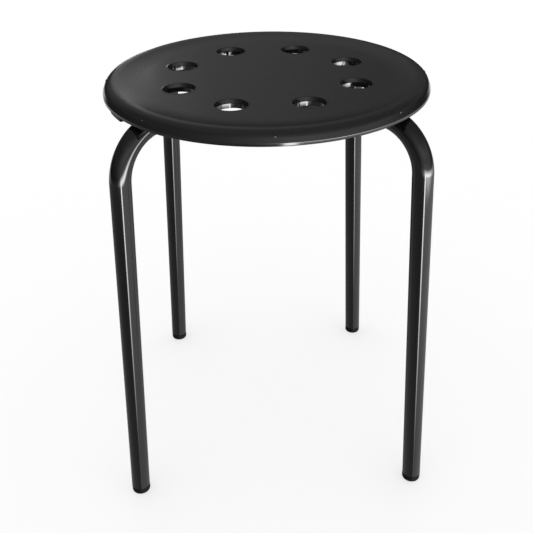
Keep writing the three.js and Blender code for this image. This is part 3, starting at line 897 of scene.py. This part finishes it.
# A lug hangs from the inside of the rim at the left.
LUG_TURN = math.radians(206.0)
LUG_LENGTH = 25.0
LUG_DEPTH = 5.0
LUG_THICKNESS = 4.5
LUG_EDGE = 0.8
LUG_CORNER = 0.5
LUG_WINDOW_WIDTH = 40.0
lug_outer = inner_radius + RIM_EDGE
lug_inner = lug_outer - LUG_THICKNESS
lug_low = SEAT_TOP - RIM_DEPTH - LUG_DEPTH
lug = spin_outline(
    "lug",
    [
        *arc((lug_inner + LUG_EDGE, lug_low + LUG_EDGE), LUG_EDGE, 180, 270, 4),
        *arc((lug_outer - LUG_EDGE, lug_low + LUG_EDGE), LUG_EDGE, 270, 360, 4),
        (lug_outer, skirt_top),
        (lug_inner, skirt_top),
        (lug_inner, lug_low + LUG_EDGE),
    ],
    SEAT_STEPS,
)

NEAR = 0.1  # edges are picked by place to within this


def rounded_block(name, length, width, low, high, corner, vertical=True):
    """A block, in mm, with its upright edges or the long edges of its underside rounded."""
    bpy.ops.object.select_all(action="DESELECT")
    bpy.ops.mesh.primitive_cube_add(
        size=1.0,
        location=(0.0, 0.0, (low + high) / 2 * MM),
        scale=(length * MM, width * MM, (high - low) * MM),
    )
    block = bpy.context.object
    block.name = name
    bpy.ops.object.transform_apply(location=True, rotation=True, scale=True)
    near = NEAR * MM
    for edge in block.data.edges:
        start, end = (block.data.vertices[i].co for i in edge.vertices)
        if vertical:
            edge.select = abs(start.z - end.z) > near
        else:
            at_foot = max(start.z, end.z) < (low + NEAR) * MM
            edge.select = at_foot and abs(start.x - end.x) > near
    block.data.polygons.foreach_set("select", [False] * len(block.data.polygons))
    bpy.ops.object.mode_set(mode="EDIT")
    bpy.ops.mesh.select_mode(type="EDGE")
    bpy.ops.mesh.bevel(offset=corner * MM, segments=4)
    bpy.ops.mesh.select_mode(type="VERT")
    bpy.ops.object.mode_set(mode="OBJECT")
    return block


lug_window = rounded_block(
    "lug_window", LUG_WINDOW_WIDTH, LUG_LENGTH, lug_low - OVERRUN, skirt_top, LUG_CORNER
)
lug_window.location = Vector((lug_outer, 0.0, 0.0)) * MM
take(lug_window)
bpy.ops.object.transform_apply(location=True, rotation=True, scale=True)
lug_window.rotation_euler = (0.0, 0.0, LUG_TURN)
bpy.ops.object.transform_apply(location=True, rotation=True, scale=True)
merge(lug, [lug_window], "INTERSECT")

# Ribs stiffen the deck: a hub, two drafted rings and eight spokes, each rounded at its edge.
RIB_WALL = 2.4
RIB_TIP = 1.9
RIB_EDGE = 0.5
RIB_DEPTH = 6.0
RIB_COUNT = 8
HUB_RADIUS = 9.0
RING_RADII = (62.0, 128.0)
rib_low = deck_under - RIB_DEPTH
spoke_reach = SEAT_RADIUS - DECK_WALL / 2

hub = spin_outline(
    "hub",
    [(0.0, rib_low), *arc((HUB_RADIUS - RIB_EDGE, rib_low + RIB_EDGE), RIB_EDGE, -90, 0, 4),
     (HUB_RADIUS, rib_top), (0.0, rib_top)],
)
rings = [
    spin_outline(
        "rib_ring",
        [
            (radius - RIB_WALL / 2, rib_top),
            *arc((radius - RIB_TIP / 2 + RIB_EDGE, rib_low + RIB_EDGE), RIB_EDGE, 180, 270, 4),
            *arc((radius + RIB_TIP / 2 - RIB_EDGE, rib_low + RIB_EDGE), RIB_EDGE, 270, 360, 4),
            (radius + RIB_WALL / 2, rib_top),
            (radius - RIB_WALL / 2, rib_top),
        ],
        SEAT_STEPS,
    )
    for radius in RING_RADII
]
spokes = []
for i in range(RIB_COUNT // 2):
    spoke = rounded_block("spoke", 2 * spoke_reach, RIB_WALL, rib_low, rib_top, RIB_EDGE, False)
    spoke.rotation_euler = (0.0, 0.0, 2 * math.pi * i / RIB_COUNT)
    take(spoke)
    bpy.ops.object.transform_apply(location=True, rotation=True, scale=True)
    spokes.append(spoke)

# The cradles: saddles that straddle the tubes beside the seat bolts.
CRADLE_WALL = 2.6
CRADLE_GRIP = 11.0
CRADLE_INWARD = 12.0
CRADLE_OUTWARD = 20.0
CRADLE_CORNER = 2.0
cradles = []
for arm, side, end in ARMS:
    cradle = rounded_block(
        "cradle",
        CRADLE_INWARD + CRADLE_OUTWARD,
        2 * (TUBE_RADIUS + FIT + CRADLE_WALL),
        CROSSBAR_HEIGHT + TUBE_RADIUS - CRADLE_GRIP,
        rib_top,
        CRADLE_CORNER,
    )
    middle = on_hoop(side, end * (seat_bolt_reach + (CRADLE_OUTWARD - CRADLE_INWARD) / 2))
    cradle.rotation_euler = (0.0, 0.0, hoop_turn(side))
    cradle.location = Vector((middle["x"], middle["y"], 0.0)) * MM
    take(cradle)
    bpy.ops.object.transform_apply(location=True, rotation=True, scale=True)
    cradles.append(cradle)

merge(seat, [lug, hub, *rings, *spokes, *cradles], "UNION")

# The finger holes: a low bead round each, a rounded lip, and a bore with a step in its sleeve.
HOLE_COUNT = 8
HOLE_RING_RADIUS = 91.0
HOLE_RADIUS = 15.3
HOLE_STEPS = 96
BEAD_WIDTH = 2.0
BEAD_HEIGHT = 0.3
LIP_RADIUS = 0.5
SLEEVE_WALL = 1.8
SLEEVE_DEPTH = 8.2
SLEEVE_STEP = 1.1
SLEEVE_STEP_DEPTH = 3.4
SLEEVE_EDGE = 0.4
FUNNEL_FOOT = 0.15  # the upper bore narrows to this much over the lower one
FUNNEL_SHOULDER = 0.6
BEAD_STEPS = 8
BEAD_ROOT = 0.02  # the bead starts this far inside the deck
sleeve_outer = HOLE_RADIUS + SLEEVE_WALL
sleeve_lower = HOLE_RADIUS - SLEEVE_STEP
sleeve_low = deck_top - SLEEVE_DEPTH
step_height = deck_top - SLEEVE_STEP_DEPTH
bead_outer = HOLE_RADIUS + BEAD_WIDTH
lip_centre = (HOLE_RADIUS + LIP_RADIUS, deck_top + BEAD_HEIGHT - LIP_RADIUS)
bead_slope = [
    (
        bead_outer + (lip_centre[0] - bead_outer) * i / BEAD_STEPS,
        deck_top + BEAD_HEIGHT * (1 - math.cos(math.pi * i / BEAD_STEPS)) / 2,
    )
    for i in range(BEAD_STEPS)
]
bead_slope[0] = (bead_outer, deck_top - BEAD_ROOT)
sleeve = spin_outline(
    "sleeve",
    [
        *arc((sleeve_lower + SLEEVE_EDGE, sleeve_low + SLEEVE_EDGE), SLEEVE_EDGE, 180, 270, 3),
        *arc((sleeve_outer - SLEEVE_EDGE, sleeve_low + SLEEVE_EDGE), SLEEVE_EDGE, 270, 360, 3),
        (sleeve_outer, rib_top),
        (bead_outer, rib_top),
        *bead_slope,
        *arc(lip_centre, LIP_RADIUS, 90, 180, 8),
        (sleeve_lower + FUNNEL_FOOT, step_height),
        (sleeve_lower, step_height - FUNNEL_SHOULDER),
        (sleeve_lower, sleeve_low + SLEEVE_EDGE),
    ],
    HOLE_STEPS,
)
bores = []
sleeves = []
for i in range(HOLE_COUNT):
    turn = 2 * math.pi * (i + 0.5) / HOLE_COUNT
    centre = (HOLE_RING_RADIUS * math.cos(turn), HOLE_RING_RADIUS * math.sin(turn))
    bore_radius = HOLE_RADIUS + SLEEVE_WALL / 2
    bores.append(drill(bore_radius, CROSSBAR_HEIGHT, SEAT_TOP + OVERRUN, *centre, HOLE_STEPS))
    wall = copy_of(sleeve, "sleeve_copy")
    wall.location = Vector((*centre, 0.0)) * MM
    take(wall)
    bpy.ops.object.transform_apply(location=True, rotation=True, scale=True)
    sleeves.append(wall)
bpy.data.objects.remove(sleeve)
merge(seat, bores, "DIFFERENCE")
merge(seat, sleeves, "UNION")

# Room for the two hoops, the crossing bolt's head and the four inserts is cut out last.
HEAD_ROOM = 7.5
INSERT_RADIUS = 3.6
INSERT_LENGTH = 4.6
INSERT_COVER = 1.9
insert_top = deck_top - INSERT_COVER
rooms = []
for side, dips in ((1, False), (-1, True)):
    room_bar = bend_bar("room_bar", TUBE_RADIUS + FIT, hoop_corners(dips))
    middle = on_hoop(side, 0.0)
    room_bar.rotation_euler = (0.0, 0.0, hoop_turn(side))
    room_bar.location = Vector((middle["x"], middle["y"], 0.0)) * MM
    take(room_bar)
    bpy.ops.object.transform_apply(location=True, rotation=True, scale=True)
    rooms.append(room_bar)
rooms.append(drill(HEAD_ROOM, CROSSBAR_HEIGHT, bolt_head_top + FIT, 0.0, CROSSING_BACK))
for arm, side, end in ARMS:
    pocket = on_hoop(side, end * seat_bolt_reach)
    rooms.append(drill(INSERT_RADIUS + FIT, CROSSBAR_HEIGHT, insert_top + FIT, **pocket))
merge(seat, rooms, "DIFFERENCE")
put(seat)
smooth(seat, CREASE)

# Moulded polypropylene, spark-eroded: a fine even grain that spreads every reflection, and faint
# clouds of more and less sheen where hands and cloth have rubbed it. The real grain is about
# 0.3 mm; it is drawn at 0.9 mm so that it shows.
SEAT_COLOUR = "161617"
SEAT_DARK_COLOUR = "111112"
SEAT_GRAIN_SIZE = 0.9
SEAT_GRAIN_DEPTH = 0.008
SHEEN_CLOUD_SIZE = 18.0
TEXTURED_ROUGHNESS = (0.25, 0.31)
POLISHED_ROUGHNESS = 0.12
# The normal's upright part, from a polished wall to a fully grained face.
TEXTURED_FROM = 0.55
TEXTURED_TO = 0.9
polypropylene, tree, shader, place = new_finish("moulded_black_polypropylene")
grain = add_node(
    tree,
    "ShaderNodeTexNoise",
    values={"Scale": per_metre(SEAT_GRAIN_SIZE), "Detail": 3.0, "Roughness": 0.6},
    links={"Vector": place},
)
clouds = add_node(
    tree,
    "ShaderNodeTexNoise",
    values={"Scale": per_metre(SHEEN_CLOUD_SIZE), "Detail": 4.0, "Roughness": 0.55},
    links={"Vector": place},
)
# The steep walls are taken to be polished along the draw: the holes and the rim's edge shine.
facing = add_node(tree, "ShaderNodeNewGeometry")
upright = add_node(tree, "ShaderNodeSeparateXYZ", links={"Vector": facing.outputs["Normal"]})
level_share = add_node(
    tree, "ShaderNodeMath", {"operation": "ABSOLUTE"}, links={0: upright.outputs["Z"]}
)
texture_share = add_node(
    tree,
    "ShaderNodeMapRange",
    values={"From Min": TEXTURED_FROM, "From Max": TEXTURED_TO},
    links={"Value": level_share.outputs[0]},
)
sheen_change = add_node(
    tree,
    "ShaderNodeMapRange",
    values={"To Min": TEXTURED_ROUGHNESS[0], "To Max": TEXTURED_ROUGHNESS[1]},
    links={"Value": clouds.outputs["Fac"]},
)
seat_roughness = add_node(
    tree,
    "ShaderNodeMix",
    values={2: POLISHED_ROUGHNESS},
    links={0: texture_share.outputs[0], 3: sheen_change.outputs[0]},
)
seat_tone = add_node(tree, "ShaderNodeValToRGB", links={"Fac": grain.outputs["Fac"]})
seat_tone.color_ramp.elements[0].color = linear(SEAT_DARK_COLOUR)
seat_tone.color_ramp.elements[1].color = linear(SEAT_COLOUR)
seat_bump = add_node(
    tree,
    "ShaderNodeBump",
    values={"Distance": SEAT_GRAIN_DEPTH * MM},
    links={"Height": grain.outputs["Fac"], "Strength": texture_share.outputs[0]},
)
tree.links.new(seat_tone.outputs["Color"], shader.inputs["Base Color"])
tree.links.new(seat_roughness.outputs[0], shader.inputs["Roughness"])
tree.links.new(seat_bump.outputs["Normal"], shader.inputs["Normal"])
coat(seat, polypropylene)
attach(seat, "root")
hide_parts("seat")

# The inserts: four turned brass sleeves, each with a groove round its middle, pressed warm into the
# cradles to take the seat bolts.
INSERT_BORE = 2.8
INSERT_GROOVE = 0.35
GROOVE_SHARES = (0.4, 0.45, 0.55, 0.6)  # where the groove starts and ends, of the length

# Turned brass: warm and bright, with fine rings left by the tool.
BRASS_DARK_COLOUR = "a27d3c"
BRASS_PALE_COLOUR = "c8a660"
BRASS_ROUGHNESS = 0.34
TOOL_RING_SIZE = 0.25
TOOL_RING_DEPTH = 0.01
brass, tree, shader, place = new_finish("turned_brass")
turning = add_node(
    tree,
    "ShaderNodeTexWave",
    {"bands_direction": "Z"},
    {"Scale": per_metre(TOOL_RING_SIZE) / (2 * math.pi), "Distortion": 0.6, "Detail": 1.0},
    {"Vector": place},
)
brass_tone = add_node(tree, "ShaderNodeValToRGB", links={"Fac": turning.outputs["Fac"]})
brass_tone.color_ramp.elements[0].color = linear(BRASS_DARK_COLOUR)
brass_tone.color_ramp.elements[1].color = linear(BRASS_PALE_COLOUR)
brass_bump = add_node(
    tree,
    "ShaderNodeBump",
    values={"Strength": 0.4, "Distance": TOOL_RING_DEPTH * MM},
    links={"Height": turning.outputs["Fac"]},
)
tree.links.new(brass_tone.outputs["Color"], shader.inputs["Base Color"])
tree.links.new(brass_bump.outputs["Normal"], shader.inputs["Normal"])
shader.inputs["Metallic"].default_value = 1.0
shader.inputs["Roughness"].default_value = BRASS_ROUGHNESS

insert_low = insert_top - INSERT_LENGTH
insert_waist = INSERT_RADIUS - INSERT_GROOVE
groove = [insert_low + share * INSERT_LENGTH for share in GROOVE_SHARES]
insert = spin_outline(
    "insert",
    [
        (INSERT_BORE, insert_low),
        (insert_waist, insert_low),
        (INSERT_RADIUS, insert_low + INSERT_GROOVE),
        (INSERT_RADIUS, groove[0]),
        (insert_waist, groove[1]),
        (insert_waist, groove[2]),
        (INSERT_RADIUS, groove[3]),
        (INSERT_RADIUS, insert_top - INSERT_GROOVE),
        (insert_waist, insert_top),
        (INSERT_BORE, insert_top),
        (INSERT_BORE, insert_low),
    ],
    SMALL_STEPS,
)

# The seat bolts and their curved washers: zinc-plated screws that come up through each crossbar
# into the inserts, with low domed heads and hexagon sockets.
SEAT_BOLT_RADIUS = 2.5
SEAT_BOLT_HEAD_RADIUS = 4.75
SEAT_BOLT_HEAD_HEIGHT = 2.8
SEAT_BOLT_SOCKET = 1.7
washer_low = CROSSBAR_HEIGHT - TUBE_RADIUS - FIT - WASHER_PLATE
bolt_low = washer_low - FIT - SEAT_BOLT_HEAD_HEIGHT
seat_bolt = socket_screw(
    "seat_bolt",
    SEAT_BOLT_RADIUS,
    SEAT_BOLT_HEAD_RADIUS,
    SEAT_BOLT_HEAD_HEIGHT,
    SEAT_BOLT_SOCKET,
    insert_top - FIT - bolt_low,
)
seat_washer = saddle_washer("seat_washer", CROSSBAR_HEIGHT, SEAT_BOLT_HOLE, 0.0)
for arm, side, end in ARMS:
    spot = on_hoop(side, end * seat_bolt_reach)
    for model, name, node, lift, finish, slot in (
        (insert, "brass_insert_", "seat_insert_", 0.0, brass, "insert"),
        (seat_bolt, "zinc_bolt_", "seat_bolt_", bolt_low, zinc, "screw"),
        (seat_washer, "zinc_washer_", "seat_washer_", 0.0, zinc, "screw"),
    ):
        piece = copy_of(model, name + arm)
        put(piece, **spot, z=lift, turn=hoop_turn(side))
        smooth(piece, CREASE)
        coat(piece, finish)
        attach(piece, "root")
        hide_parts(node + arm)
for model in (insert, seat_bolt, seat_washer):
    bpy.data.objects.remove(model)
